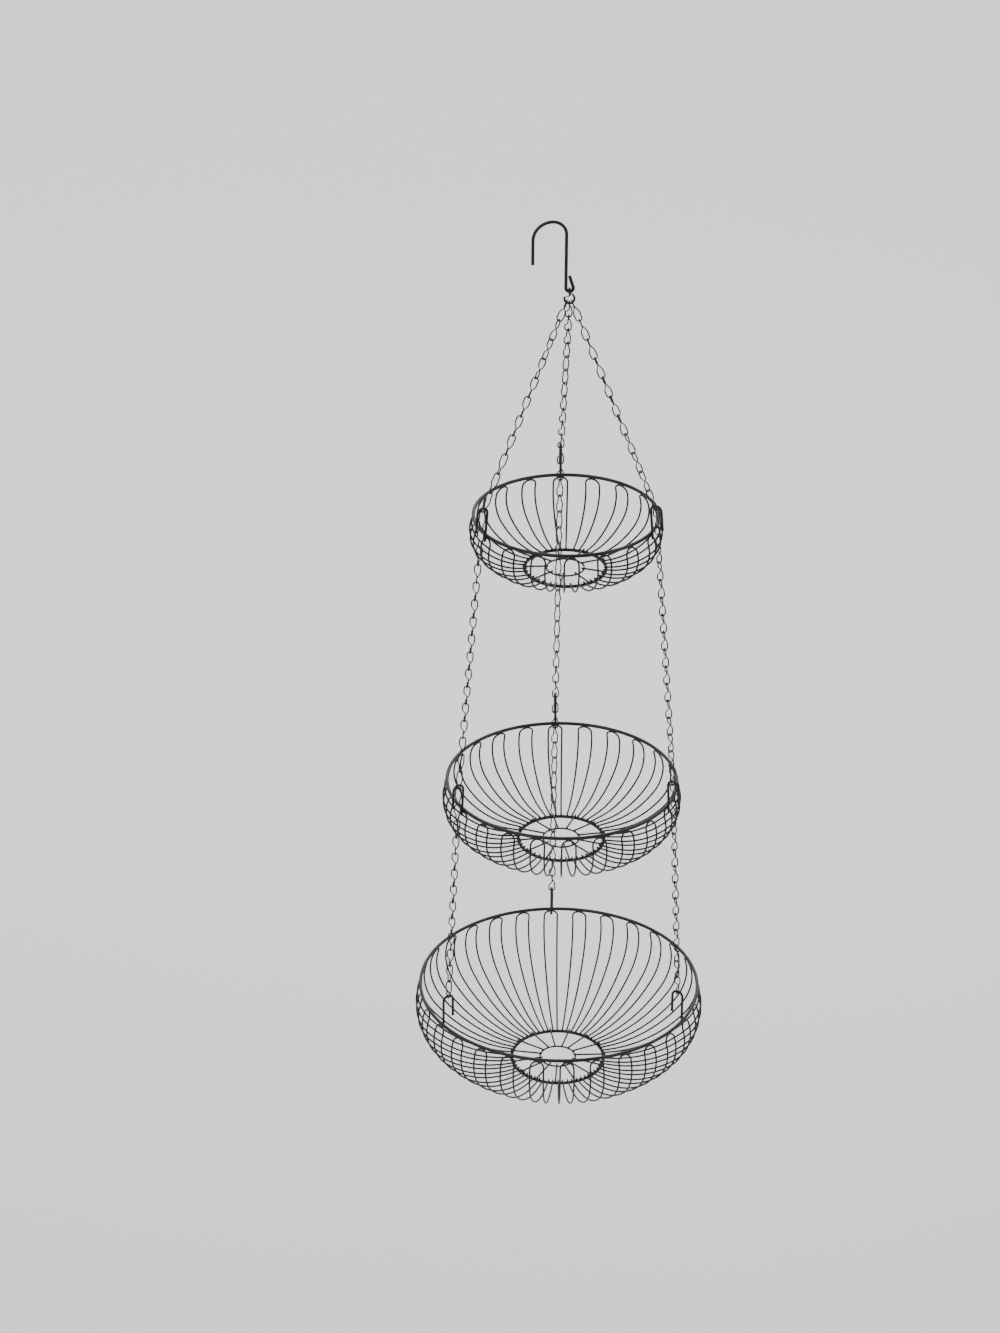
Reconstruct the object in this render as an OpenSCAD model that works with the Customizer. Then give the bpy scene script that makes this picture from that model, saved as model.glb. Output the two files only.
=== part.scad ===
// Hanging fruit basket: three round wire baskets, one under the other, on three
// chains that meet at a small link under a ceiling hook.
// Millimetres, +Z up. The origin is the inside of the ceiling hook's crown, where
// it hangs. The baskets' axis stands to the right of it, through the hook's eye.

/* [Ceiling hook] */
// Wire of the ceiling hook
hook_wire = 3.5; // [2.8:0.1:4.5]
// Clear width of the hook's mouth
mouth_w = 30.4; // [20:0.2:44]
// Radius of the tight bend over the shank, at the middle of the wire
shank_bend_r = 13.6; // [10:0.1:18]
// Straight length of the tip below the wide bend
tip_l = 25.5; // [10:0.5:45]
// Straight length of the shank above the eye
shank_l = 58; // [40:1:90]
// Clear width of the eye at the shank's foot
eye_w = 4.1; // [3.6:0.1:6]
// Play between the end of the wire that closes the eye and the shank
eye_play = 0.15; // [0.1:0.05:0.5]

/* [Gathering link] */
// Wire of the link that carries the three chains
gather_wire = 2.4; // [2:0.1:3]
// Outer width of its upper half, which hangs in the eye
gather_top_w = 10.8; // [10:0.1:13]
// Outer width of its lower half, which carries the chains
gather_foot_w = 12.6; // [12.4:0.1:16]
// Outer height of the link
gather_h = 18.6; // [17:0.1:26]
// How far the two front chains sit up the sides of the link's foot, in degrees
gather_spread = 37; // [35:1:44]
// Extra play of the two front chains, which cross the foot's bend at a slant
front_play = 0.25; // [0.2:0.05:0.4]

/* [Chain] */
// Wire of the chain
link_wire = 1.5; // [1.3:0.1:1.7]
// Outer width of a link
link_w = 8; // [7.8:0.1:8.6]
// Step from one link to the next above the top basket
upper_step = 21.3; // [17:0.1:24]
// Step from one link to the next below it
link_step = 20.1; // [18:0.1:24]
// Play between two links that hang in each other
link_play = 0.3; // [0.2:0.05:0.5]
// Links above the top basket
upper_links = 11; // [8:1:16]
// Links between the top and the middle basket
middle_links = 16; // [12:1:20]
// Links between the middle and the bottom basket
lower_links = 13; // [10:1:20]

/* [Baskets] */
// Diameter of the top rim, at the middle of its wire
top_rim_d = 194; // [170:1:214]
// Diameter of the middle rim
middle_rim_d = 250; // [225:1:275]
// Diameter of the bottom rim
bottom_rim_d = 310; // [285:1:340]
// Depth of the top basket, rim to floor
top_depth = 60; // [54:1:74]
// Depth of the middle basket
middle_depth = 72; // [64:1:84]
// Depth of the bottom basket
bottom_depth = 98; // [88:1:110]
// Radius of the top basket's shoulder, where its wires turn down
top_shoulder_r = 30; // [22:1:36]
// Radius of the middle basket's shoulder
middle_shoulder_r = 38; // [28:1:44]
// Radius of the bottom basket's shoulder
bottom_shoulder_r = 50; // [40:1:56]
// Diameter of the ring under the top basket
top_base_d = 86; // [70:1:88]
// Diameter of the ring under the middle basket
middle_base_d = 94; // [80:1:110]
// Diameter of the ring under the bottom basket
bottom_base_d = 104; // [90:1:108]
// Diameter of the small ring in the middle of each floor
centre_d = 40; // [36:1:50]
// Arched wires around the top basket
top_arches = 18; // [12:3:21]
// Arched wires around the middle basket
middle_arches = 24; // [18:3:27]
// Arched wires around the bottom basket
bottom_arches = 30; // [24:3:33]

/* [Basket wire] */
// Wire of the rims
rim_wire = 3.8; // [3:0.1:5]
// Wire of the arches, the floor spokes and the small floor ring
side_wire = 2; // [1.6:0.1:2.4]
// Wire of the rings underneath
base_wire = 3.6; // [2.6:0.1:4.4]
// Width of an arch, leg to leg, at the middle of its wire
arch_w = 15; // [13:0.5:17]
// How far an arch leans out below the rim, in degrees
arch_lean = 18; // [12:1:24]
// Turn of the shoulder before the flatter floor bend, in degrees
shoulder_turn = 45; // [40:1:50]
// How deep a weld joins two wires
weld = 0.2; // [0.1:0.05:0.35]
// How far a wire runs past the ring that it is welded to
overrun = 2; // [1:0.5:4]

/* [Basket hooks] */
// Wire of the hooks on the rims
crook_wire = 2.8; // [2.2:0.1:2.8]
// Play between a hook and the link nested in it
nest_play = 0.6; // [0.5:0.05:0.8]
// Height of a hook above the rim
crook_rise = 33; // [30:0.5:44]
// Length of a hook's free tip
tip_drop = 20; // [14:0.5:24]
// Length of the leg below the middle of the rim
leg_foot = 5; // [3:0.5:8]
// Extra diameter of the ball on the tip
ball_extra = 0.6; // [0.3:0.1:0.8]

/* [Hidden] */
$fn = 32;

// Fineness of the large rings
ring_fn = 144;
// Where two bends of one wire meet, a bead a hair thicker than the wire covers
// the joint, and both bends stop just inside it
bead_extra = 0.08;
bead_cover = 0.15;
// Azimuths of the three chains
BACK = 90;
LEFT = 210;
RIGHT = 330;
// Numbers of the baskets in the lists below
TOP = 0;
MIDDLE = 1;
BOTTOM = 2;

wire_colour = [0.13, 0.12, 0.12];
chain_colour = [0.22, 0.21, 0.21];

// Ceiling hook: the crown's wire passes over the origin
crown_z = hook_wire / 2;
wide_bend_r = mouth_w + hook_wire - shank_bend_r;
eye_r = (eye_w + hook_wire) / 2;
axis_x = shank_bend_r + eye_r;
shank_top_z = crown_z - shank_bend_r;
eye_z = shank_top_z - shank_l;
eye_foot_z = eye_z - eye_r;
// The wire that closes the eye leans back until its end almost meets the shank
eye_lean = 18;
eye_return_l = (eye_r * (1 + cos(eye_lean)) - hook_wire - eye_play) / sin(eye_lean);

// Gathering link, from its top wire down to the middle of its foot bend
gather_top_z = eye_foot_z + (hook_wire + gather_wire) / 2 + link_play;
gather_top_r = (gather_top_w - gather_wire) / 2;
gather_foot_r = (gather_foot_w - gather_wire) / 2;
gather_tall = gather_h - gather_wire;
gather_foot_z = gather_top_z - gather_tall + gather_foot_r;

// One chain link: radius of its two bends and height between its end wires
link_r = (link_w - link_wire) / 2;
link_seat = link_wire + link_play;
first_seat = (gather_wire + link_wire) / 2 + link_play;
// A link's sides stay flat for this part of their length at either end, and
// take their quarter twist between
flat_part = 0.3;
side_places = [0, flat_part, 1 - flat_part, 1];
side_turns = [0, 0, 90, 90];
// Turn of the links about the chain, and over how many links it comes and goes
hang_turn = -45;
turn_links = 4;
// Links that stay with the basket above because they pass its rim and its side
start_links = [4, 5];

// Baskets, top to bottom
rim_r = [top_rim_d / 2, middle_rim_d / 2, bottom_rim_d / 2];
depth = [top_depth, middle_depth, bottom_depth];
shoulder_r = [top_shoulder_r, middle_shoulder_r, bottom_shoulder_r];
base_r = [top_base_d / 2, middle_base_d / 2, bottom_base_d / 2];
arches = [top_arches, middle_arches, bottom_arches];

// The hooks stand outside the two upper rims (1) and inside the bottom one (-1)
out = [1, 1, -1];
// Hook on a rim: nested round the link that leaves it downwards
crook_r = link_r + (link_wire + crook_wire) / 2 + nest_play;
leg_in = (rim_wire + crook_wire) / 2 - weld;
leg_up = crook_rise - crook_r;
// Where the last link's foot hangs above the middle of the hook's bend. The
// bottom basket's hook has no link nested in it and sits on its last link.
hang_up = link_r - link_seat;
seat_up = crook_r - (link_wire + crook_wire) / 2 - link_play;
chain_up = [leg_up + hang_up, leg_up + hang_up, leg_up + seat_up];
// Each hook leans with the chain that leaves it, so that its tip stays clear
stand_r = [for (b = [TOP:BOTTOM]) rim_r[b] + out[b] * (leg_in + crook_r)];
middle_lean = chain_lean(MIDDLE, lower_links, stand_r[BOTTOM]);
middle_hang_r = lean_r(MIDDLE, middle_lean);
top_lean = chain_lean(TOP, middle_links, middle_hang_r);
hook_lean = [top_lean, middle_lean, 0];
hang_r = [lean_r(TOP, top_lean), middle_hang_r, stand_r[BOTTOM]];

// Heights of the three hanging points, from the number of links above each
gather_seat_z = gather_foot_z - gather_foot_r;
upper_l = upper_links * upper_step + link_seat - first_seat;
hang_top_z = lower_end(gather_seat_z, upper_l, hang_r[TOP]);
hang_middle_z = lower_end(hang_top_z, middle_links * link_step, hang_r[MIDDLE] - hang_r[TOP]);
hang_bottom_z = lower_end(hang_middle_z, lower_links * link_step, hang_r[BOTTOM] - hang_r[MIDDLE]);
hang_z = [hang_top_z, hang_middle_z, hang_bottom_z];
rim_z = [for (b = [TOP:BOTTOM])
    hang_z[b] - chain_up[b] * cos(hook_lean[b]) - crook_r * sin(hook_lean[b])];

// Height at which a chain of length l ends that starts at z and moves out by dr
function lower_end(z, l, dr) = z - sqrt(pow(l, 2) - pow(dr, 2));

// Lean of the chain of n links from basket b's hook to the next hanging radius
function chain_lean(b, n, next_r) = asin((next_r - stand_r[b]) / (n * link_step - chain_up[b]));

// Hanging radius of basket b once its hook leans
function lean_r(b, lean) =
    stand_r[b] - crook_r * (1 - cos(lean)) - chain_up[b] * sin(lean);

// Point at a radius, azimuth and height
function polar(r, a, z) = [r * cos(a), r * sin(a), z];

// Point k on one of a link's two sides
function side_point(top_r, foot_r, tall, side, k) =
    let (a = side_turns[k], t = side_places[k], r = top_r + (foot_r - top_r) * t)
    [side * r * cos(a), -side * r * sin(a), -top_r - (tall - top_r - foot_r) * t];

// A bead that closes a joint or a free end of a wire. Its poles lie along the
// wire, which leans from upright by an angle towards +X.
module bead(p, d, lean = 0) {
    translate(p) rotate([0, lean, 0]) sphere(d = d + bead_extra);
}

// A straight piece of wire between two points
module rod(a, b, d) {
    v = b - a;
    l = norm(v);
    translate(a + v * bead_cover / l)
        rotate([0, acos(v[2] / l), atan2(v[1], v[0])])
            cylinder(h = l - 2 * bead_cover, d = d);
}

// A bent piece of wire in the XY plane, from angle a0 to a1 about the origin
module bend(r, d, a0, a1) {
    g = asin(bead_cover / r);
    rotate([0, 0, a0 + g]) rotate_extrude(angle = a1 - a0 - 2 * g) translate([r, 0]) circle(d = d);
}

// The same bend standing in the XZ plane, with its angles measured from +X up
module upright_bend(r, d, a0, a1) {
    rotate([90, 0, 0]) bend(r, d, a0, a1);
}

// A whole ring lying flat
module ring(r, d) {
    rotate_extrude($fn = ring_fn) translate([r, 0]) circle(d = d);
}

// A closed link with a quarter twist, its top wire at the origin. Its upper half
// lies in the XZ plane and its lower half in the YZ plane.
module twisted_link(top_r, foot_r, tall, d) {
    translate([0, 0, -top_r]) upright_bend(top_r, d, 0, 180);
    translate([0, 0, foot_r - tall]) rotate([0, 0, 90]) upright_bend(foot_r, d, 180, 360);
    for (side = [-1, 1]) {
        for (k = [0:2])
            rod(side_point(top_r, foot_r, tall, side, k), side_point(top_r, foot_r, tall, side, k + 1), d);
        for (k = [0:3]) bead(side_point(top_r, foot_r, tall, side, k), d);
    }
}

// Links i0 to i1 of a run of n that hangs on the wire at q and ends with the
// last link's foot wire at j. The first link's upper half and the last link's
// foot stand square to what holds them, at azimuth face, or first_turn from it.
module run(q, j, n, i0, i1, seat, tall, face, first_turn = 0) {
    v = j - q;
    p = v / norm(v);
    step = (norm(v) + seat - tall) / (n - 1);
    lean_a = atan2(-p[1], -p[0]);
    for (i = [i0:i1]) {
        near_top = max(0, 1 - i / turn_links);
        near_foot = max(0, 1 - (n - 1 - i) / turn_links);
        spin = face + first_turn * near_top + hang_turn * (1 - near_top - near_foot) - lean_a;
        translate(q + p * (i * step - seat))
            rotate([0, acos(-p[2]), lean_a])
                rotate([0, 0, spin])
                    twisted_link(link_r, link_r, tall, link_wire);
    }
}

// Where a chain leaves the gathering link's foot, side -1, 0 or 1 across it
function gather_point(side) =
    [axis_x + gather_foot_r * sin(gather_spread) * side, 0,
     gather_foot_z - gather_foot_r * cos(gather_spread * side)];

// Where a chain carries a basket, at azimuth a
function hang_point(b, a) = [axis_x, 0, 0] + polar(hang_r[b], a, hang_z[b]);

// The chain from the gathering link to the top basket
module upper_run(a, side) {
    seat = first_seat + front_play * abs(side);
    first_turn = side == 0 ? 0 : 30 * side - 90;
    color(chain_colour)
        run(gather_point(side), hang_point(TOP, a), upper_links, 0, upper_links - 1,
            seat, upper_step + link_seat, a, first_turn);
}

// Links i0 to i1 of the chain from basket b to the next
module lower_run(b, n, a, i0, i1) {
    color(chain_colour)
        run(hang_point(b, a), hang_point(b + 1, a), n, i0, i1, link_seat, link_step + link_seat, a);
}

// The part of that chain that stays with basket b, and the part that swings
module start_run(b, n, a) { lower_run(b, n, a, 0, start_links[b] - 1); }
module swing_run(b, n, a) { lower_run(b, n, a, start_links[b], n - 1); }

module ceiling_hook() {
    tip = [-wide_bend_r, 0, crown_z - wide_bend_r - tip_l];
    wide_foot = [-wide_bend_r, 0, crown_z - wide_bend_r];
    eye_side = [shank_bend_r, 0, eye_z];
    eye_turn = [axis_x + eye_r * cos(eye_lean), 0, eye_z + eye_r * sin(eye_lean)];
    eye_end = eye_turn + eye_return_l * [-sin(eye_lean), 0, cos(eye_lean)];
    color(wire_colour) {
        rod(tip, wide_foot, hook_wire);
        translate([0, 0, crown_z - wide_bend_r]) upright_bend(wide_bend_r, hook_wire, 90, 180);
        translate([0, 0, shank_top_z]) upright_bend(shank_bend_r, hook_wire, 0, 90);
        rod([shank_bend_r, 0, shank_top_z], eye_side, hook_wire);
        translate([axis_x, 0, eye_z]) upright_bend(eye_r, hook_wire, 180, 360 + eye_lean);
        rod(eye_turn, eye_end, hook_wire);
        bead(tip, hook_wire);
        bead(wide_foot, hook_wire);
        bead([0, 0, crown_z], hook_wire, 90);
        bead([shank_bend_r, 0, shank_top_z], hook_wire);
        bead(eye_side, hook_wire);
        bead(eye_turn, hook_wire, -eye_lean);
        bead(eye_end, hook_wire, -eye_lean);
    }
}

// Its upper half stands across the hook's eye and its foot faces the front
module gathering_link() {
    color(wire_colour)
        translate([axis_x, 0, gather_top_z]) rotate([0, 0, 90])
            twisted_link(gather_top_r, gather_foot_r, gather_tall, gather_wire);
}

module upper_chain_back() { upper_run(BACK, 0); }
module upper_chain_left() { upper_run(LEFT, -1); }
module upper_chain_right() { upper_run(RIGHT, 1); }
module middle_chain_back_start() { start_run(TOP, middle_links, BACK); }
module middle_chain_left_start() { start_run(TOP, middle_links, LEFT); }
module middle_chain_right_start() { start_run(TOP, middle_links, RIGHT); }
module middle_chain_back() { swing_run(TOP, middle_links, BACK); }
module middle_chain_left() { swing_run(TOP, middle_links, LEFT); }
module middle_chain_right() { swing_run(TOP, middle_links, RIGHT); }
module lower_chain_back_start() { start_run(MIDDLE, lower_links, BACK); }
module lower_chain_left_start() { start_run(MIDDLE, lower_links, LEFT); }
module lower_chain_right_start() { start_run(MIDDLE, lower_links, RIGHT); }
module lower_chain_back() { swing_run(MIDDLE, lower_links, BACK); }
module lower_chain_left() { swing_run(MIDDLE, lower_links, LEFT); }
module lower_chain_right() { swing_run(MIDDLE, lower_links, RIGHT); }

// Moves a piece that is drawn about its basket's own axis, rim at height 0
module at_basket(b) {
    translate([axis_x, 0, rim_z[b]]) children();
}

module rim(b) {
    color(wire_colour) at_basket(b) ring(rim_r[b], rim_wire);
}

// One arch: a half round under the rim and two legs that turn over the shoulder
// and run in along the floor to the ring underneath
module arch(b) {
    half_w = arch_w / 2;
    apex_z = weld - (rim_wire + side_wire) / 2;
    spring_r = rim_r[b] + half_w * sin(arch_lean);
    spring_z = apex_z - half_w * cos(arch_lean);
    leg_r = norm([spring_r, half_w]);
    r1 = shoulder_r[b];
    o1 = [leg_r - r1 * cos(arch_lean), spring_z - r1 * sin(arch_lean)];
    r2 = (depth[b] + o1[1] - r1 * sin(shoulder_turn)) / (1 - sin(shoulder_turn));
    o2 = o1 + (r1 - r2) * [cos(shoulder_turn), -sin(shoulder_turn)];
    leg_end = base_r[b] - overrun;
    translate([spring_r, 0, spring_z]) rotate([0, -arch_lean, 0])
        rotate([0, 0, 90]) upright_bend(half_w, side_wire, 0, 180);
    for (side = [-1, 1]) rotate([0, 0, side * atan2(half_w, spring_r)]) {
        translate([o1[0], 0, o1[1]]) upright_bend(r1, side_wire, -shoulder_turn, arch_lean);
        translate([o2[0], 0, o2[1]]) upright_bend(r2, side_wire, -90, -shoulder_turn);
        bead([leg_r, 0, spring_z], side_wire, -arch_lean);
        bead([o1[0] + r1 * cos(shoulder_turn), 0, o1[1] - r1 * sin(shoulder_turn)], side_wire, shoulder_turn);
        bead([o2[0], 0, -depth[b]], side_wire, 90);
        if (o2[0] > leg_end) {
            rod([o2[0], 0, -depth[b]], [leg_end, 0, -depth[b]], side_wire);
            bead([leg_end, 0, -depth[b]], side_wire, 90);
        }
    }
}

module side_arches(b) {
    color(wire_colour) at_basket(b)
        for (i = [0:arches[b] - 1]) rotate([0, 0, 360 * i / arches[b] + BACK]) arch(b);
}

// The ring that the basket stands on when it is taken down
module base_ring(b) {
    base_z = weld - depth[b] - (side_wire + base_wire) / 2;
    color(wire_colour) at_basket(b) translate([0, 0, base_z]) ring(base_r[b], base_wire);
}

// Straight wires between the arches' legs, from the base ring to the small ring
module floor_spokes(b) {
    r0 = centre_d / 2 - overrun;
    r1 = base_r[b] + overrun;
    spokes = round(arches[b] / 2);
    color(wire_colour) at_basket(b)
        for (i = [0:spokes - 1]) rotate([0, 0, 360 * i / spokes + 180 / arches[b] + BACK])
            translate([r0, 0, -depth[b]]) rotate([0, 90, 0]) cylinder(h = r1 - r0, d = side_wire);
}

module centre_ring(b) {
    color(wire_colour) at_basket(b)
        translate([0, 0, weld - depth[b] - side_wire]) ring(centre_d / 2, side_wire);
}

// One hook on a rim: a leg welded to the rim, a half round over the chain, and a
// free tip with a ball on its end. It is drawn with the leg on the Z axis.
module crook(b, a) {
    tip_x = 2 * crook_r;
    tip_z = leg_up - tip_drop;
    color(wire_colour) at_basket(b) rotate([0, 0, a])
        translate([rim_r[b] + out[b] * leg_in, 0, 0])
            rotate([0, -hook_lean[b], out[b] > 0 ? 0 : 180]) {
                rod([0, 0, -leg_foot], [0, 0, leg_up], crook_wire);
                translate([crook_r, 0, leg_up]) upright_bend(crook_r, crook_wire, 0, 180);
                rod([tip_x, 0, tip_z], [tip_x, 0, leg_up], crook_wire);
                bead([0, 0, -leg_foot], crook_wire);
                bead([0, 0, leg_up], crook_wire);
                bead([tip_x, 0, leg_up], crook_wire);
                bead([tip_x, 0, tip_z], crook_wire + ball_extra);
            }
}

module top_rim() { rim(TOP); }
module top_side_arches() { side_arches(TOP); }
module top_base_ring() { base_ring(TOP); }
module top_floor_spokes() { floor_spokes(TOP); }
module top_centre_ring() { centre_ring(TOP); }
module top_hook_back() { crook(TOP, BACK); }
module top_hook_left() { crook(TOP, LEFT); }
module top_hook_right() { crook(TOP, RIGHT); }
module middle_rim() { rim(MIDDLE); }
module middle_side_arches() { side_arches(MIDDLE); }
module middle_base_ring() { base_ring(MIDDLE); }
module middle_floor_spokes() { floor_spokes(MIDDLE); }
module middle_centre_ring() { centre_ring(MIDDLE); }
module middle_hook_back() { crook(MIDDLE, BACK); }
module middle_hook_left() { crook(MIDDLE, LEFT); }
module middle_hook_right() { crook(MIDDLE, RIGHT); }
module bottom_rim() { rim(BOTTOM); }
module bottom_side_arches() { side_arches(BOTTOM); }
module bottom_base_ring() { base_ring(BOTTOM); }
module bottom_floor_spokes() { floor_spokes(BOTTOM); }
module bottom_centre_ring() { centre_ring(BOTTOM); }
module bottom_hook_back() { crook(BOTTOM, BACK); }
module bottom_hook_left() { crook(BOTTOM, LEFT); }
module bottom_hook_right() { crook(BOTTOM, RIGHT); }

ceiling_hook();
gathering_link();
upper_chain_back();
upper_chain_left();
upper_chain_right();
middle_chain_back_start();
middle_chain_left_start();
middle_chain_right_start();
middle_chain_back();
middle_chain_left();
middle_chain_right();
lower_chain_back_start();
lower_chain_left_start();
lower_chain_right_start();
lower_chain_back();
lower_chain_left();
lower_chain_right();
top_rim();
top_side_arches();
top_base_ring();
top_floor_spokes();
top_centre_ring();
top_hook_back();
top_hook_left();
top_hook_right();
middle_rim();
middle_side_arches();
middle_base_ring();
middle_floor_spokes();
middle_centre_ring();
middle_hook_back();
middle_hook_left();
middle_hook_right();
bottom_rim();
bottom_side_arches();
bottom_base_ring();
bottom_floor_spokes();
bottom_centre_ring();
bottom_hook_back();
bottom_hook_left();
bottom_hook_right();
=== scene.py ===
from math import acos, asin, atan2, cos, degrees, pi, radians, sin, sqrt

import bmesh
import bpy
from mathutils import Matrix, Vector


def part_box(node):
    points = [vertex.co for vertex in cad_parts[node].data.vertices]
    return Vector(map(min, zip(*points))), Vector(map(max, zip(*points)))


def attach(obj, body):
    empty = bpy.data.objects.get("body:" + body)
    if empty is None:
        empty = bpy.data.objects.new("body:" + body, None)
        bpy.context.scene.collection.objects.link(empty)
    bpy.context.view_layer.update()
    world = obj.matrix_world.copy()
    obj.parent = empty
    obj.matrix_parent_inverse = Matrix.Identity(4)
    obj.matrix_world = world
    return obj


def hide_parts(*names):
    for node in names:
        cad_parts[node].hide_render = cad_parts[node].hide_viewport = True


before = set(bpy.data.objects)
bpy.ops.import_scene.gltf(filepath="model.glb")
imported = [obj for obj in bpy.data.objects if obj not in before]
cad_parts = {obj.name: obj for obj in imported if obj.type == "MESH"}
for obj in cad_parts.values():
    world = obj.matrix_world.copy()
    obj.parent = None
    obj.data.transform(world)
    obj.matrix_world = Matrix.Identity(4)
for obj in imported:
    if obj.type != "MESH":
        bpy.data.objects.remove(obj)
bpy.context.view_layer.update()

bpy.ops.object.select_all(action="DESELECT")


# ---- Ceiling hook ----------------------------------------------------------------
# One length of 3.5 mm steel wire, bent cold round two pins to an open hook. Below
# the shank it turns back on itself to an eye that stays just short of closed, and
# the whole is coated near-black with the rest of the set.
hook_wire = 0.0035
mouth_w = 0.0304
shank_bend_r = 0.0136
wide_bend_r = mouth_w + hook_wire - shank_bend_r
tip_l = 0.0255
shank_l = 0.058
eye_w = 0.0041
eye_r = (eye_w + hook_wire) / 2
eye_play = 0.00015
eye_lean = radians(18)
eye_return_l = (eye_r * (1 + cos(eye_lean)) - hook_wire - eye_play) / sin(eye_lean)
baskets_x = shank_bend_r + eye_r
crown_z = hook_wire / 2
eye_z = crown_z - shank_bend_r - shank_l


def start_wire(name, across, at, facing, sides):
    """Lays the first ring of points of a wire, square to the way that it will run."""
    turn = Vector(facing).to_track_quat("Z", "Y").to_euler()
    bpy.ops.mesh.primitive_circle_add(vertices=sides, radius=across / 2, location=at, rotation=turn)
    bpy.ops.object.transform_apply()
    bpy.context.object.name = name
    bpy.ops.object.mode_set(mode="EDIT")
    bpy.ops.mesh.select_all(action="SELECT")


def draw_on(reach, pieces=1):
    """Draws the wire on in a straight line."""
    for _ in range(pieces):
        bpy.ops.mesh.extrude_region_move(TRANSFORM_OT_translate={"value": Vector(reach) / pieces})


def bend_on(pin, axis, turn, pieces):
    """Bends the wire on round a pin by a turn in degrees, which spin counts backwards."""
    bpy.ops.mesh.spin(steps=pieces, angle=-radians(turn), center=pin, axis=axis)


def swell(size, middle):
    """Makes the wire's last ring thicker or thinner about its middle."""
    bpy.ops.transform.resize(value=(size, size, size), center_override=middle)


# how far a cut end bulges, as a share of half a ball
cut_end = 0.35


def close_end(middle, facing, across, ball, flat=1.0, pieces=4):
    """Rounds the wire off to a ball, or to a cut end if the ball is no wider than it."""
    first = asin(min(1.0, across / ball)) if ball > across else pi / 2
    last_r, last_h = ball / 2 * sin(first), -ball / 2 * cos(first) * flat
    for k in range(1, pieces + 1):
        angle = first + (pi - first) * k / (pieces + 0.5)
        r, h = ball / 2 * sin(angle), -ball / 2 * cos(angle) * flat
        draw_on(Vector(facing) * (h - last_h))
        swell(r / last_r, Vector(middle) + Vector(facing) * h)
        last_r, last_h = r, h
    bpy.ops.mesh.merge(type="CENTER")


def pick_points(passes):
    """Selects the points of the piece in hand whose place passes a test."""
    bpy.ops.mesh.select_all(action="DESELECT")
    points = bmesh.from_edit_mesh(bpy.context.object.data)
    for point in points.verts:
        point.select = passes(point.co)
    points.select_flush(True)
    bmesh.update_edit_mesh(bpy.context.object.data)


def take_down(closed=False):
    """Joins a closed wire's ends, turns its faces outwards and smooths it."""
    bpy.ops.mesh.select_all(action="SELECT")
    if closed:
        bpy.ops.mesh.remove_doubles(threshold=0.00002)
    bpy.ops.mesh.normals_make_consistent(inside=False)
    bpy.ops.object.mode_set(mode="OBJECT")
    bpy.ops.object.shade_smooth()
    return bpy.context.object


def mark(piece, name, spots, reach):
    """Marks the surface near the given spots, fading over a reach, for its material."""
    marks = piece.data.attributes.get(name) or piece.data.attributes.new(name, "FLOAT", "POINT")
    for point, value in zip(piece.data.vertices, marks.data):
        near = min(((point.co - Vector(spot)).length for spot in spots), default=reach)
        value.value = max(value.value, 1 - near / reach)


class Socket:
    """A socket of a material's nodes; sums, differences and products add Math nodes."""

    def __init__(self, tree, socket=None):
        self.tree, self.socket = tree, socket

    def node(self, kind, settings, inputs, output=0):
        made = self.tree.nodes.new(kind)
        for name, value in settings.items():
            setattr(made, name, value)
        for name, value in inputs.items():
            if isinstance(value, Socket):
                self.tree.links.new(value.socket, made.inputs[name])
            else:
                made.inputs[name].default_value = value
        return Socket(self.tree, made.outputs[output] if made.outputs else None)

    def maths(self, operation, one, two):
        return self.node("ShaderNodeMath", {"operation": operation}, {0: one, 1: two})

    def __add__(self, other): return self.maths("ADD", self, other)
    def __mul__(self, other): return self.maths("MULTIPLY", self, other)
    def __sub__(self, other): return self.maths("SUBTRACT", self, other)
    def __rsub__(self, other): return self.maths("SUBTRACT", other, self)
    __radd__, __rmul__ = __add__, __mul__


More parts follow.
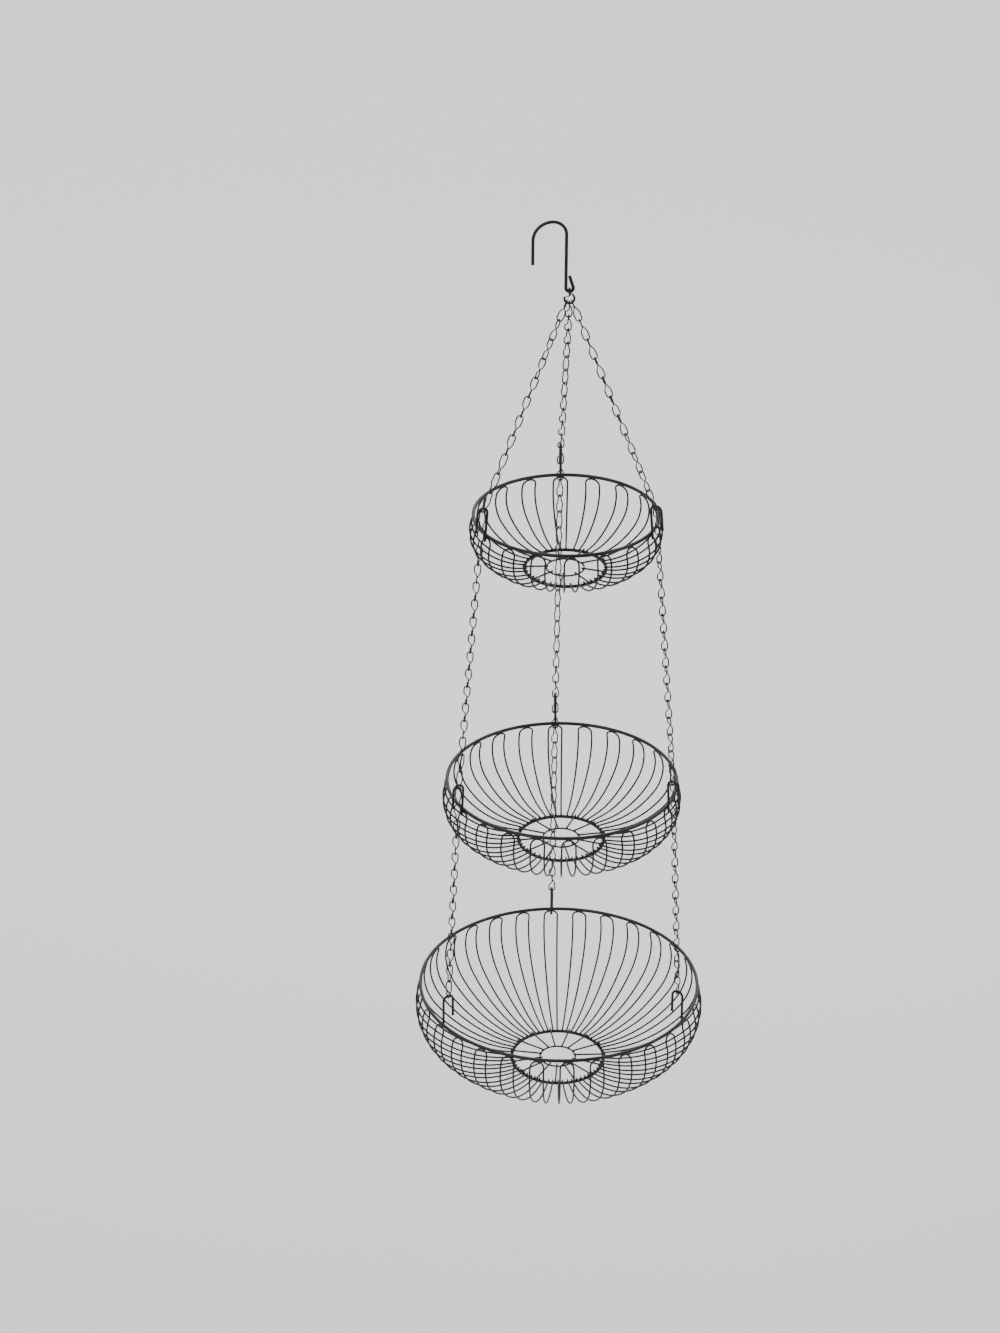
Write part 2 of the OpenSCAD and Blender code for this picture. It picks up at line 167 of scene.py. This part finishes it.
def satin_coating(name, dark, light, roughness, thinness):
    """Near-black satin coating on steel wire: a faint orange peel, a cloudy tone, a
    little dust on what faces up, and bare steel where the coating has rubbed thin."""
    finish = bpy.data.materials.new(name)
    finish.use_nodes = True
    tree = finish.node_tree
    tree.nodes.clear()
    start = Socket(tree)
    place = start.node("ShaderNodeTexCoord", {}, {}, "Object")

    def noise(scale, detail, rough=0.5):
        return start.node("ShaderNodeTexNoise", {}, {
            "Vector": place, "Scale": scale, "Detail": detail, "Roughness": rough})

    def fade(value, low, high):
        return start.node("ShaderNodeMapRange", {"interpolation_type": "SMOOTHSTEP"}, {
            "Value": value, "From Min": low, "From Max": high})

    def mix(part, one, two):
        return start.node("ShaderNodeMix", {"data_type": "RGBA"}, {0: part, 6: one, 7: two}, 2)

    clouds = noise(28, 3)
    peel = noise(1100, 2)
    grit = noise(3800, 3, 0.6)
    facing = start.node("ShaderNodeNewGeometry", {}, {}, "Normal")
    upward = start.node("ShaderNodeSeparateXYZ", {}, {0: facing}, "Z")
    dust = fade(upward, 0.35, 1) * fade(grit + clouds * 0.5, 0.68, 0.92) * 0.3
    rub = start.node("ShaderNodeAttribute", {"attribute_name": "rub"}, {}, "Fac")
    weld = start.node("ShaderNodeAttribute", {"attribute_name": "weld"}, {}, "Fac")
    bare = fade(rub + grit * 0.5, 0.85, 1.25 - thinness) * fade(rub, 0.02, 0.4)

    coat = mix(fade(clouds, 0.3, 0.75), (*dark, 1), (*light, 1))
    coat = mix(dust, coat, (0.16, 0.145, 0.13, 1))
    colour = mix(bare, coat, (0.30, 0.29, 0.28, 1))
    shine = roughness + (clouds - 0.5) * 0.16 + (grit - 0.5) * 0.14 + dust * 0.5 - bare * 0.08
    bumps = peel * 0.5 + grit * 0.16 + weld * noise(700, 2) * 1.6 - bare * 0.25
    relief = start.node("ShaderNodeBump", {}, {
        "Height": bumps, "Strength": 0.5, "Distance": 0.00012})
    shader = start.node("ShaderNodeBsdfPrincipled", {}, {
        "Base Color": colour, "Roughness": shine, "Metallic": bare * 0.9,
        "Coat Weight": (1 - bare) * 0.08, "Coat Roughness": 0.35, "Specular IOR Level": 0.28,
        "Normal": relief})
    start.node("ShaderNodeOutputMaterial", {}, {"Surface": shader})
    return finish


wire_coating = satin_coating(
    "wire_coating", (0.0075, 0.0068, 0.0064), (0.017, 0.0152, 0.0140), 0.46, 0.0)
hook_sides = 28
tip = Vector((-wide_bend_r, 0, crown_z - wide_bend_r - tip_l))

start_wire("hook", hook_wire, tip, (0, 0, 1), hook_sides)
draw_on((0, 0, tip_l), 6)
bend_on((0, 0, crown_z - wide_bend_r), (0, 1, 0), 90, 14)
bend_on((0, 0, crown_z - shank_bend_r), (0, 1, 0), 90, 12)
draw_on((0, 0, -shank_l), 12)
bend_on((baskets_x, 0, eye_z), (0, -1, 0), 180 + degrees(eye_lean), 20)
back = Vector((-sin(eye_lean), 0, cos(eye_lean)))
eye_turn = Vector((baskets_x + eye_r * cos(eye_lean), 0, eye_z + eye_r * sin(eye_lean)))
draw_on(back * eye_return_l, 4)
close_end(eye_turn + back * eye_return_l, back, hook_wire, hook_wire, cut_end)
pick_points(lambda at: abs(at.z - tip.z) < 0.0001 and at.x < 0)
close_end(tip, Vector((0, 0, -1)), hook_wire, hook_wire, cut_end)
hook = take_down()
eye_foot = Vector((baskets_x, 0, eye_z - eye_r + hook_wire / 2))
mark(hook, "rub", [(0, 0, 0), eye_foot], hook_wire)
hook.data.materials.append(wire_coating)
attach(hook, "hook")
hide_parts("ceiling_hook")


# ---- Gathering link --------------------------------------------------------------
# A stout link of 2.4 mm wire that hangs in the hook's eye and carries all three
# chains. It is bent flat, butted shut in one side, and given a quarter twist, so
# that its foot faces the front while its top lies across the eye.
gather_wire = 0.0024
gather_top_w = 0.0108
gather_foot_w = 0.0126
gather_h = 0.0186
gather_top_r = (gather_top_w - gather_wire) / 2
gather_foot_r = (gather_foot_w - gather_wire) / 2
gather_tall = gather_h - gather_wire
link_play = 0.0003
gather_top_z = eye_z - eye_r + (hook_wire + gather_wire) / 2 + link_play
gather_foot_z = gather_top_z - gather_tall + gather_foot_r

# the share of a link's side, at either end, that stays flat, and its butt joint
flat_part = 0.3
groove_w = 0.00018
groove_size = 0.86


def twisted_link(name, wire, top_r, foot_r, tall, sides, pieces, finish):
    """Bends a link flat from the middle of its top bend, closes it and twists it."""
    fall = tall - top_r - foot_r
    flat = flat_part * fall
    side = Vector((foot_r - top_r, 0, fall))
    start_wire(name, wire, (top_r, 0, 0), (0, 0, 1), sides)
    bend_on((0, 0, 0), (0, -1, 0), 180, pieces)
    draw_on((-side.x, 0, -side.z), pieces)
    bend_on((0, 0, -fall), (0, -1, 0), 180, pieces)
    # the butt joint, a fine groove half way up the last side
    groove = side.normalized() * groove_w / 2
    draw_on((-side.x / 2 + groove.x, 0, side.z / 2 - groove.z), pieces // 2)
    middle = Vector(((top_r + foot_r) / 2, 0, -fall / 2))
    draw_on((-groove.x, 0, groove.z))
    swell(groove_size, middle)
    draw_on((-groove.x, 0, groove.z))
    swell(1 / groove_size, middle + Vector((-groove.x, 0, groove.z)))
    draw_on((-side.x / 2 + groove.x, 0, side.z / 2 - groove.z), pieces // 2)
    link = take_down(closed=True)
    low, high = foot_r + wire / 2 + flat, top_r + wire / 2 + flat
    whole = fall + top_r + foot_r + wire
    # the twist's angle counts from height 0, so the link is lifted for it
    link.data.transform(Matrix.Translation((0, 0, flat)))
    twist = link.modifiers.new("quarter_twist", "SIMPLE_DEFORM")
    twist.deform_method, twist.deform_axis, twist.angle = "TWIST", "Z", radians(90)
    twist.limits = (low / whole, 1 - high / whole)
    bpy.ops.object.modifier_apply(modifier="quarter_twist")
    link.data.transform(Matrix.Translation((0, 0, -top_r - flat)))
    mark(link, "rub", [(0, 0, -wire / 2), (0, 0, wire / 2 - tall)], wire * 0.8)
    link.data.materials.append(finish)
    return link


gathering = twisted_link(
    "gathering", gather_wire, gather_top_r, gather_foot_r, gather_tall, 20, 14, wire_coating)
gathering.data.transform(
    Matrix.Translation((baskets_x, 0, gather_top_z)) @ Matrix.Rotation(pi / 2, 4, "Z"))
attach(gathering, "gathering")
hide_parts("gathering_link")


# ---- Chains ----------------------------------------------------------------------
# Bought-in twisted chain of 1.5 mm wire, every link closed by a plain butt joint.
# Three chains run down the set, and each has eleven links to the top basket, sixteen
# on to the middle one and thirteen to the bottom one, slipped over the rims' hooks.
link_wire = 0.0015
link_w = 0.008
upper_step = 0.0213
link_step = 0.0201
link_r = (link_w - link_wire) / 2
link_seat = link_wire + link_play
front_play = 0.00025
gather_spread = 37
azimuths = {"back": 90, "left": 210, "right": 330}

# the baskets' hooks, which stand outside the two upper rims and inside the bottom
# one, and lean with the chain that leaves them
rim_wire = 0.0038
crook_wire = 0.0028
crook_rise = 0.033
nest_play = 0.0006
weld_in = 0.0002
crook_r = link_r + (link_wire + crook_wire) / 2 + nest_play
leg_up = crook_rise - crook_r
leg_in = (rim_wire + crook_wire) / 2 - weld_in
out = {"top": 1, "middle": 1, "bottom": -1}
rim_r = {"top": 0.097, "middle": 0.125, "bottom": 0.155}
rim_z = {tier: (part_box(tier + "_rim")[0][2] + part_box(tier + "_rim")[1][2]) / 2 for tier in rim_r}
chain_up = {
    "top": leg_up + link_r - link_seat,
    "middle": leg_up + link_r - link_seat,
    "bottom": leg_up + crook_r - (link_wire + crook_wire) / 2 - link_play}
hang_r = {tier: rim_r[tier] + out[tier] * (leg_in + crook_r) for tier in rim_r}
crook_lean = {"bottom": 0.0}
upper_links, middle_links, lower_links = 11, 16, 13
for tier, below, count in (("middle", "bottom", lower_links), ("top", "middle", middle_links)):
    lean = asin((hang_r[below] - hang_r[tier]) / (count * link_step - chain_up[tier]))
    hang_r[tier] -= crook_r * (1 - cos(lean)) + chain_up[tier] * sin(lean)
    crook_lean[tier] = lean

chain_coating = satin_coating(
    "chain_coating", (0.012, 0.0112, 0.0108), (0.028, 0.0262, 0.0250), 0.48, 0.12)
link_sides = 12
link_pieces = 8
pattern_links = {
    step: twisted_link(
        "pattern_link", link_wire, link_r, link_r, step + link_seat,
        link_sides, link_pieces, chain_coating)
    for step in (upper_step, link_step)}


def hang_at(tier, azimuth):
    """The place where a chain carries a basket."""
    a = radians(azimuth)
    lean = crook_lean[tier]
    height = rim_z[tier] + chain_up[tier] * cos(lean) + crook_r * sin(lean)
    return Vector((baskets_x + hang_r[tier] * cos(a), hang_r[tier] * sin(a), height))


# links at either end over which a chain turns, and its turn in between
turn_links = 4
hang_turn = -45


def links_between(top, foot, count, seat, tall, azimuth, first_turn=0):
    """The places of all the links of a chain that hangs straight between two points.
    The last link faces the azimuth, and the first one does too or is turned from it;
    those between lie an eighth of a turn off, which comes and goes at both ends."""
    down = (foot - top).normalized()
    step = ((foot - top).length + seat - tall) / (count - 1)
    lean = atan2(-down.y, -down.x)
    places = []
    for i in range(count):
        near_top = max(0, 1 - i / turn_links)
        near_foot = max(0, 1 - (count - 1 - i) / turn_links)
        twist = first_turn * near_top + hang_turn * (1 - near_top - near_foot)
        places.append(
            Matrix.Translation(top + down * (i * step - seat))
            @ Matrix.Rotation(lean, 4, "Z")
            @ Matrix.Rotation(acos(-down.z), 4, "Y")
            @ Matrix.Rotation(radians(azimuth + twist) - lean, 4, "Z"))
    return places


def set_out(pattern, places, name):
    """Copies a finished pattern to each place and joins the copies to one piece."""
    bpy.ops.object.select_all(action="DESELECT")
    copies = []
    for place in places:
        copy = pattern.copy()
        copy.data = pattern.data.copy()
        copy.data.transform(place)
        bpy.context.collection.objects.link(copy)
        copy.select_set(True)
        copies.append(copy)
    bpy.context.view_layer.objects.active = copies[0]
    if len(copies) > 1:
        bpy.ops.object.join()
    copies[0].name = name
    return copies[0]


for (way, azimuth), side, first_turn in zip(azimuths.items(), (0, -1, 1), (0, -120, -60)):
    spread = radians(gather_spread) * side
    top = Vector((
        baskets_x + gather_foot_r * sin(spread), 0, gather_foot_z - gather_foot_r * cos(spread)))
    seat = (gather_wire + link_wire) / 2 + link_play + front_play * abs(side)
    places = links_between(
        top, hang_at("top", azimuth), upper_links,
        seat, upper_step + link_seat, azimuth, first_turn)
    chain = set_out(pattern_links[upper_step], places, f"chain_upper_{way}")
    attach(chain, "top_tier")
    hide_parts(f"upper_chain_{way}")

# the first links of each lower run stay with the basket whose side they pass
for run, tier, below, count, stays in (
        ("middle", "top", "middle", middle_links, 4),
        ("lower", "middle", "bottom", lower_links, 5)):
    for way, azimuth in azimuths.items():
        places = links_between(
            hang_at(tier, azimuth), hang_at(below, azimuth), count,
            link_seat, link_step + link_seat, azimuth)
        start = set_out(pattern_links[link_step], places[:stays], f"chain_{run}_{way}_start")
        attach(start, f"{tier}_tier")
        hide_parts(f"{run}_chain_{way}_start")
        chain = set_out(pattern_links[link_step], places[stays:], f"chain_{run}_{way}")
        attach(chain, f"{run}_{way}")
        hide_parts(f"{run}_chain_{way}")

for pattern in pattern_links.values():
    bpy.data.objects.remove(pattern)


# ---- Rims ------------------------------------------------------------------------
# Each basket's top edge is a hoop of 3.8 mm wire, rolled round and butt-welded; the
# upset of the weld is dressed down to a low swelling, turned to the right back.
def hoop(name, across, radius, height, sides, pieces, upset, joint_azimuth):
    """Rolls a wire to a hoop about the baskets' axis and welds its ends together."""
    # four short steps, in and out again, make the weld's upset
    step = degrees(across * 0.3 / radius)
    start_wire(name, across, (radius, 0, 0), (0, 1, 0), sides)
    bend_on((0, 0, 0), (0, 0, 1), 360 - 4 * step, pieces)
    for k, size in enumerate((upset, upset, 1 / upset, 1 / upset)):
        bend_on((0, 0, 0), (0, 0, 1), step, 1)
        a = radians((k - 3) * step)
        swell(size, (radius * cos(a), radius * sin(a), 0))
    made = take_down(closed=True)
    mark(made, "weld", [(radius, 0, 0)], across)
    turn = Matrix.Rotation(radians(joint_azimuth), 4, "Z")
    made.data.transform(Matrix.Translation((baskets_x, 0, height)) @ turn)
    made.data.materials.append(wire_coating)
    return made


rim_upset = 1.035
rim_joint_azimuth = 52

for tier in rim_r:
    rim = hoop(
        f"rim_{tier}", rim_wire, rim_r[tier], rim_z[tier], 20, 150, rim_upset, rim_joint_azimuth)
    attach(rim, f"{tier}_tier")
    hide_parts(f"{tier}_rim")


# ---- Side arches -----------------------------------------------------------------
# Each arch is one 2 mm wire: a half round that is spot-welded up under the rim,
# and two legs that lean out, turn over the basket's shoulder and run in along the
# floor to the ring underneath, where each leg has a spot weld too.
side_wire = 0.002
wire_sides = 12
overrun = 0.002
arch_lean = radians(18)
shoulder_turn = radians(45)
half_w = 0.0075
depth = {"top": 0.060, "middle": 0.072, "bottom": 0.098}
shoulder_r = {"top": 0.030, "middle": 0.038, "bottom": 0.050}
base_r = {"top": 0.043, "middle": 0.047, "bottom": 0.052}
arch_count = {"top": 18, "middle": 24, "bottom": 30}
rim_weld = (0.0010, 0.0021, 0.0008)
ring_weld = (0.0017, 0.0014, 0.0007)


def spot_weld(spots, size):
    """Adds the low, rounded collar of a spot weld at each place, and marks it."""
    wire = bpy.context.object
    collars = []
    for at, turn in spots:
        bpy.ops.mesh.primitive_uv_sphere_add(segments=10, ring_count=6, radius=1)
        collar = bpy.context.object
        collar.data.transform(
            Matrix.Translation(at) @ Matrix.Rotation(turn, 4, "Z") @ Matrix.Diagonal((*size, 1)))
        bpy.ops.object.shade_smooth()
        mark(collar, "weld", [at], 10 * max(size))
        collar.data.materials.append(wire_coating)
        collars.append(collar)
    for piece in (*collars, wire):
        piece.select_set(True)
    bpy.context.view_layer.objects.active = wire
    bpy.ops.object.join()
    return wire


def around(count, first, tier):
    """The places of like pieces that stand evenly round a basket's axis."""
    middle = Matrix.Translation((baskets_x, 0, rim_z[tier]))
    return [
        middle @ Matrix.Rotation(radians(first + 360 * i / count), 4, "Z")
        for i in range(count)]


for tier in rim_r:
    apex_z = weld_in - (rim_wire + side_wire) / 2
    spring_r = rim_r[tier] + half_w * sin(arch_lean)
    spring_z = apex_z - half_w * cos(arch_lean)
    leg_r = sqrt(spring_r ** 2 + half_w ** 2)
    # a leg's shoulder bend runs on into the wider bend that reaches the floor
    bend_r = shoulder_r[tier]
    pin = Vector((leg_r - bend_r * cos(arch_lean), 0, spring_z - bend_r * sin(arch_lean)))
    floor_bend_r = (depth[tier] + pin.z - bend_r * sin(shoulder_turn)) / (1 - sin(shoulder_turn))
    floor_pin = pin + (bend_r - floor_bend_r) * Vector((cos(shoulder_turn), 0, -sin(shoulder_turn)))
    leg_end = Vector((base_r[tier] - overrun, 0, -depth[tier]))
    leg_turn = atan2(half_w, spring_r)

    start_wire("arch", side_wire, leg_end, (1, 0, 0), wire_sides)
    draw_on((floor_pin.x - leg_end.x, 0, 0), 2)
    bend_on(floor_pin, (0, -1, 0), degrees(shoulder_turn), 8)
    bend_on(pin, (0, -1, 0), degrees(shoulder_turn + arch_lean), 9)
    pick_points(lambda at: at.x < leg_end.x + 0.0001)
    close_end(leg_end, Vector((-1, 0, 0)), side_wire, side_wire, cut_end, 3)
    arch = take_down()
    arch.data.transform(Matrix.Rotation(-leg_turn, 4, "Z"))

    # the half round over the two legs
    start_wire(
        "half_round", side_wire, (spring_r, -half_w, spring_z),
        (-sin(arch_lean), 0, cos(arch_lean)), wire_sides)
    bend_on((spring_r, 0, spring_z), (-cos(arch_lean), 0, -sin(arch_lean)), 90, 8)
    take_down()
    arch.select_set(True)
    bpy.context.view_layer.objects.active = arch
    bpy.ops.object.join()
    mirror = arch.modifiers.new("other_leg", "MIRROR")
    mirror.use_axis = (False, True, False)
    mirror.use_mirror_merge, mirror.merge_threshold = True, 0.00002
    bpy.ops.object.modifier_apply(modifier="other_leg")
    bpy.ops.object.mode_set(mode="EDIT")
    bpy.ops.mesh.select_all(action="SELECT")
    bpy.ops.mesh.remove_doubles(threshold=0.0003)
    arch = take_down()
    arch.data.materials.append(wire_coating)
    floor_weld_z = -depth[tier] - side_wire / 2 + weld_in / 2
    spot_weld([((rim_r[tier], 0, -rim_wire / 2 + weld_in / 2), 0.0)], rim_weld)
    spot_weld(
        [((base_r[tier] * cos(a), base_r[tier] * sin(a), floor_weld_z), a)
         for a in (-leg_turn, leg_turn)], ring_weld)
    sides = set_out(arch, around(arch_count[tier], 90, tier), f"arches_{tier}")
    bpy.data.objects.remove(arch)
    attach(sides, f"{tier}_tier")
    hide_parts(f"{tier}_side_arches")


# ---- Rings underneath ------------------------------------------------------------
# A hoop of 3.6 mm wire under each floor carries the ends of all the arches, and is
# what the basket stands on when it is taken down.
base_wire = 0.0036
ring_upset = 1.03
base_joint_azimuth = 75

for tier in rim_r:
    base_z = rim_z[tier] + weld_in - depth[tier] - (side_wire + base_wire) / 2
    base = hoop(
        f"base_ring_{tier}", base_wire, base_r[tier], base_z,
        16, 96, ring_upset, base_joint_azimuth)
    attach(base, f"{tier}_tier")
    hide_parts(f"{tier}_base_ring")


# ---- Floors ----------------------------------------------------------------------
# Straight 2 mm wires lie between the arches' legs from the ring underneath to a
# small ring in the middle, so that small fruit can't fall through. Each wire is
# spot-welded where it crosses a ring.
centre_r = 0.020
centre_joint_azimuth = 20
small_ring_weld = (0.0012, 0.0013, 0.0006)

for tier in rim_r:
    spoke_count = arch_count[tier] // 2
    inner, outer = centre_r - overrun, base_r[tier] + overrun
    start_wire("spoke", side_wire, (inner, 0, -depth[tier]), (1, 0, 0), wire_sides)
    draw_on((outer - inner, 0, 0), 4)
    close_end((outer, 0, -depth[tier]), Vector((1, 0, 0)), side_wire, side_wire, cut_end, 3)
    pick_points(lambda at: at.x < inner + 0.0001)
    close_end((inner, 0, -depth[tier]), Vector((-1, 0, 0)), side_wire, side_wire, cut_end, 3)
    spoke = take_down()
    spoke.data.materials.append(wire_coating)
    floor_weld_z = -depth[tier] - side_wire / 2 + weld_in / 2
    spot_weld([((base_r[tier], 0, floor_weld_z), 0.0)], ring_weld)
    spot_weld([((centre_r, 0, floor_weld_z), 0.0)], small_ring_weld)
    floor = set_out(spoke, around(spoke_count, 90 + 180 / arch_count[tier], tier), f"floor_{tier}")
    bpy.data.objects.remove(spoke)
    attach(floor, f"{tier}_tier")
    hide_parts(f"{tier}_floor_spokes")

    middle_z = rim_z[tier] + weld_in - depth[tier] - side_wire
    middle = hoop(
        f"centre_ring_{tier}", side_wire, centre_r, middle_z,
        wire_sides, 56, ring_upset, centre_joint_azimuth)
    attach(middle, f"{tier}_tier")
    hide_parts(f"{tier}_centre_ring")


# ---- Hooks on the rims -----------------------------------------------------------
# Three hooks of 2.8 mm wire stand up on each rim, at the back and at both sides of
# the front. The leg is welded to the rim, outside it on the two upper baskets; the
# free tip carries a ball, and the chain's link is slipped over it.
tip_drop = 0.020
leg_foot = 0.005
ball_extra = 0.0006
ball = crook_wire + ball_extra
neck = sqrt(ball ** 2 - crook_wire ** 2) / 2
crook_sides = 20
rub_reach = 0.003
leg_weld = (0.0008, 0.0016, 0.0019)

for tier in rim_r:
    stand = (
        Matrix.Translation((rim_r[tier] + out[tier] * leg_in, 0, 0))
        @ Matrix.Rotation(0 if out[tier] > 0 else pi, 4, "Z")
        @ Matrix.Rotation(-crook_lean[tier], 4, "Y"))
    for way, azimuth in azimuths.items():
        tip = Vector((2 * crook_r, 0, leg_up - tip_drop))
        start_wire("crook", crook_wire, (0, 0, -leg_foot), (0, 0, 1), crook_sides)
        draw_on((0, 0, leg_up + leg_foot), 8)
        bend_on((crook_r, 0, leg_up), (0, 1, 0), 180, 18)
        draw_on((0, 0, neck - tip_drop), 6)
        close_end(tip, Vector((0, 0, -1)), crook_wire, ball, 1.0, 8)
        pick_points(lambda at: at.z < 0.0001 - leg_foot)
        close_end((0, 0, -leg_foot), Vector((0, 0, -1)), crook_wire, crook_wire, cut_end)
        crook = take_down()
        crook.data.materials.append(wire_coating)
        mark(crook, "rub", [(crook_r, 0, leg_up + crook_r - crook_wire / 2)], rub_reach)
        spot_weld([((-crook_wire / 2, 0, 0), 0.0)], leg_weld)
        crook.data.transform(around(1, azimuth, tier)[0] @ stand)
        crook.name = f"crook_{tier}_{way}"
        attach(crook, f"{tier}_tier")
        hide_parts(f"{tier}_hook_{way}")


# ---- Studio ----------------------------------------------------------------------
# A plain pale floor far below the hanging set, soft light from large lamps, and the
# camera at the photograph's place, looking down on the baskets.
floor_z = -1.9
bpy.ops.mesh.primitive_plane_add(size=60, location=(0, 0, floor_z))
ground = bpy.context.object
ground.name = "studio_floor"
paint = bpy.data.materials.new("studio_paint")
paint.use_nodes = True
paint_inputs = paint.node_tree.nodes["Principled BSDF"].inputs
paint_inputs["Base Color"].default_value = (0.90, 0.90, 0.90, 1)
paint_inputs["Roughness"].default_value = 0.9
ground.data.materials.append(paint)

world = bpy.data.worlds.new("studio_air")
world.use_nodes = True
world.node_tree.nodes["Background"].inputs["Color"].default_value = (1, 1, 1, 1)
world.node_tree.nodes["Background"].inputs["Strength"].default_value = 0.4
bpy.context.scene.world = world

middle_of_set = Vector((0, 0, -0.55))
for name, at, size, power in (
        ("lamp_left", (-2.2, -2.4, 1.6), 1.6, 60),
        ("lamp_right", (2.6, -1.2, 0.8), 1.2, 28),
        ("lamp_back", (0.6, 2.8, 1.4), 1.6, 30)):
    bpy.ops.object.light_add(type="AREA", location=at)
    lamp = bpy.context.object
    lamp.name = name
    lamp.data.shape, lamp.data.size, lamp.data.energy = "DISK", size, power
    lamp.rotation_euler = (middle_of_set - Vector(at)).to_track_quat("-Z", "Y").to_euler()

# a large soft box behind the set, out of the picture, lights the floor that is seen
bpy.ops.object.light_add(type="AREA", location=(0, 6.2, 0.9))
soft_box = bpy.context.object
soft_box.name = "soft_box"
soft_box.data.shape, soft_box.data.size, soft_box.data.size_y = "RECTANGLE", 12, 11
soft_box.data.energy = 500

# the camera that was fitted to the three rims: its focal length in picture points,
# its place, and its heading, fall and roll in degrees
focal_points = 3700
picture_h = 1333
film = 36
camera_at = (-0.2136, -3.4775, 1.3715)
heading, look_down, roll = -2.68, 28.32, 0.36
bpy.ops.object.camera_add()
camera = bpy.context.object
camera.name = "camera"
camera.data.lens = focal_points / picture_h * film
camera.data.sensor_width = film
camera.matrix_world = (
    Matrix.Translation(camera_at)
    @ Matrix.Rotation(radians(heading), 4, "Z")
    @ Matrix.Rotation(radians(90 - look_down), 4, "X")
    @ Matrix.Rotation(radians(roll), 4, "Z")
)
camera.data.clip_end = 200
bpy.context.scene.camera = camera
